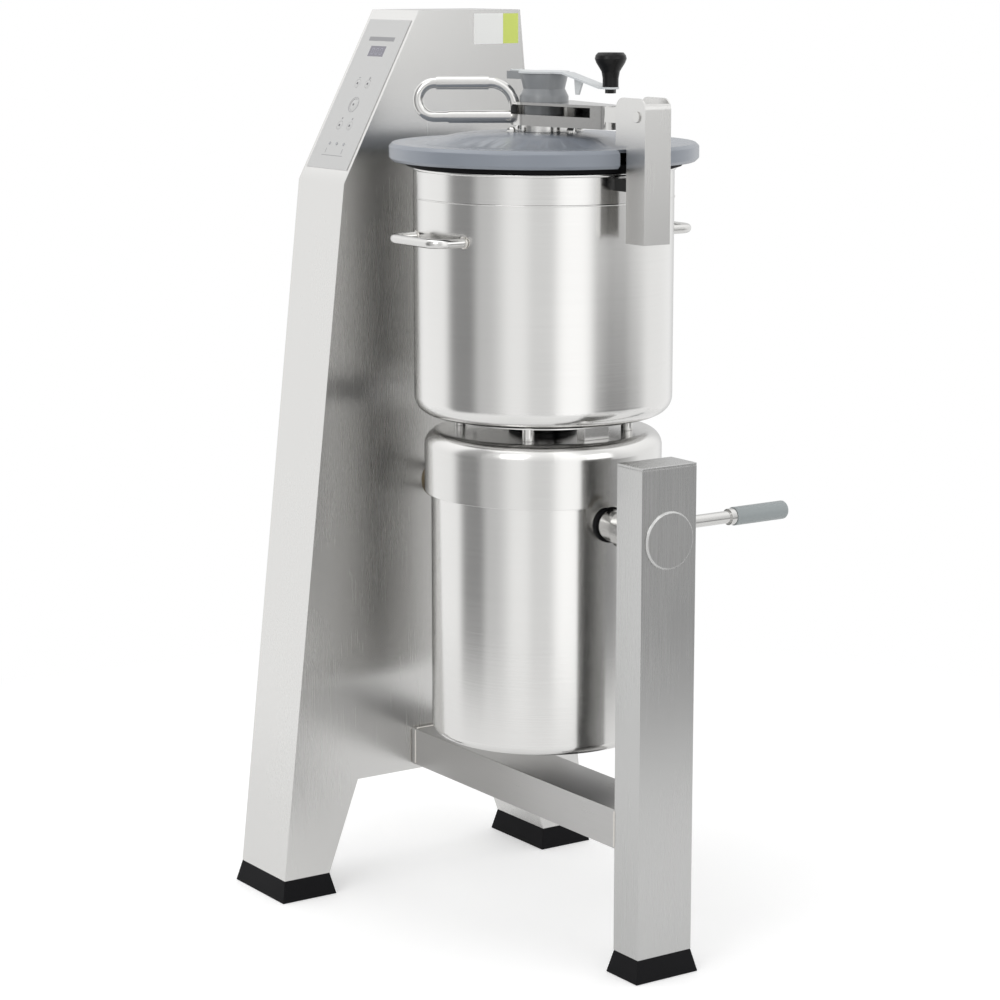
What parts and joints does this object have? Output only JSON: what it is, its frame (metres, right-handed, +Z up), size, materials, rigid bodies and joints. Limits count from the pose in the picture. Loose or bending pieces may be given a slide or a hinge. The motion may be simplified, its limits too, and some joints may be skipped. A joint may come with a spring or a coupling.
{
  "type": "vertical cutter mixer",
  "caption": "Floor-standing vertical cutter mixer: a stainless bowl with a hinged lid on a tilting motor unit, carried between a control column and a post.",
  "frame": {"origin": "on the floor, under the middle of the footprint", "axes": "+X from the control column to the support post, along the tilting axis; +Y from the operator to the rear of the machine; +Z up"},
  "size_m": [0.764, 0.602, 1.4],
  "materials": {
    "brushed_sheet": "brushed",
    "polished_steel": "polished",
    "bearing_steel": "ground",
    "cast_aluminium": "cast",
    "core_iron": "laminated",
    "bush_bronze": "machined",
    "panel_grey": "matt film",
    "display_dark": "gloss",
    "key_film": "matt film",
    "lamp_clear": "gloss",
    "foot_rubber": "matt",
    "black_plastic": "satin",
    "grip_grey": "satin",
    "lid_plastic": "satin",
    "chute_grey": "satin",
    "cover_light": "satin"
  },
  "bodies": {
    "frame": {"column_shell": "brushed_sheet", "rear_cover": "brushed_sheet", "rear_cover_screws": "polished_steel", "control_panel": "panel_grey", "timer_display": "display_dark", "panel_lamps": "lamp_clear", "cross_beam": "brushed_sheet", "beam_plate": "brushed_sheet", "beam_bolts": "bearing_steel", "support_post": "brushed_sheet", "post_cap": "polished_steel", "pivot_cap": "polished_steel", "column_feet": "foot_rubber", "post_foot": "foot_rubber", "foot_studs": "bearing_steel", "column_bush": "bush_bronze", "post_bush": "bush_bronze", "control_box": "black_plastic", "drive_unit": "cast_aluminium", "cable_gland": "black_plastic"},
    "minus_key": {"minus_key": "key_film"},
    "plus_key": {"plus_key": "key_film"},
    "pulse_key": {"pulse_key": "key_film"},
    "start_key": {"start_key": "key_film"},
    "stop_key": {"stop_key": "key_film"},
    "tilt_unit": {"motor_housing": "brushed_sheet", "bottom_cover": "brushed_sheet", "housing_cap": "brushed_sheet", "motor_frame": "cast_aluminium", "stator": "core_iron", "upper_bearing": "bearing_steel", "lower_bearing": "bearing_steel", "frame_bolts": "bearing_steel", "trunnions": "polished_steel", "trunnion_seals": "foot_rubber", "tilt_lever": "polished_steel", "lever_grip": "grip_grey", "shaft_collar": "black_plastic", "bowl_supports": "polished_steel"},
    "rotor": {"motor_shaft": "polished_steel", "rotor_core": "core_iron", "cooling_fan": "black_plastic"},
    "bowl": {"bowl_shell": "brushed_sheet", "front_handle": "polished_steel", "rear_handle": "polished_steel", "hinge_mount": "black_plastic", "hinge_bracket": "brushed_sheet", "hinge_pin": "polished_steel"},
    "blades": {"blade_hub": "polished_steel", "blade_set": "polished_steel", "hub_nut": "black_plastic"},
    "lid": {"lid_shell": "lid_plastic", "lid_seal": "foot_rubber", "lid_boss": "polished_steel", "lid_bridge": "polished_steel", "feed_chute": "chute_grey", "lid_handle": "polished_steel"},
    "chute_cover": {"chute_cover": "cover_light", "cover_knob": "black_plastic"},
    "roller_grip": {"roller_grip": "polished_steel"}
  },
  "joints": [
    {"name": "unit_tilt", "type": "hinge", "parent": "frame", "child": "tilt_unit", "pos_m": [0.059, 0, 0.658], "axis": [1, 0, 0], "range_deg": [0, 95]},
    {"name": "rotor_spin", "type": "hinge", "parent": "tilt_unit", "child": "rotor", "pos_m": [0.059, 0, 0.5], "axis": [0, 0, 1], "continuous": true},
    {"name": "bowl_lift", "type": "slide", "parent": "tilt_unit", "child": "bowl", "axis": [0, 0, 1], "range_m": [0, 0.236]},
    {"name": "blade_spin", "type": "hinge", "parent": "bowl", "child": "blades", "pos_m": [0.059, 0, 0.9], "axis": [0, 0, 1], "continuous": true},
    {"name": "lid_hinge", "type": "hinge", "parent": "bowl", "child": "lid", "pos_m": [0.319, 0, 1.259], "axis": [0, 1, 0], "range_deg": [0, 100]},
    {"name": "cover_flap", "type": "hinge", "parent": "lid", "child": "chute_cover", "pos_m": [-0.013, 0, 1.311], "axis": [0, -1, 0], "range_deg": [0, 110]},
    {"name": "grip_roll", "type": "hinge", "parent": "lid", "child": "roller_grip", "pos_m": [-0.00866, -0.10031, 1.298], "axis": [-0.5592, -0.829, 0], "continuous": true},
    {"name": "minus_key_press", "type": "slide", "parent": "frame", "child": "minus_key", "axis": [0, 0.8841, -0.4673], "range_m": [0, 0.001], "stiffness_N_per_m": 400},
    {"name": "plus_key_press", "type": "slide", "parent": "frame", "child": "plus_key", "axis": [0, 0.8841, -0.4673], "range_m": [0, 0.001], "stiffness_N_per_m": 400},
    {"name": "pulse_key_press", "type": "slide", "parent": "frame", "child": "pulse_key", "axis": [0, 0.8841, -0.4673], "range_m": [0, 0.001], "stiffness_N_per_m": 400},
    {"name": "start_key_press", "type": "slide", "parent": "frame", "child": "start_key", "axis": [0, 0.8841, -0.4673], "range_m": [0, 0.001], "stiffness_N_per_m": 400},
    {"name": "stop_key_press", "type": "slide", "parent": "frame", "child": "stop_key", "axis": [0, 0.8841, -0.4673], "range_m": [0, 0.001], "stiffness_N_per_m": 400}
  ],
  "couplings": [
    {"joint": "blade_spin", "follows": "rotor_spin", "ratio": 1}
  ]
}
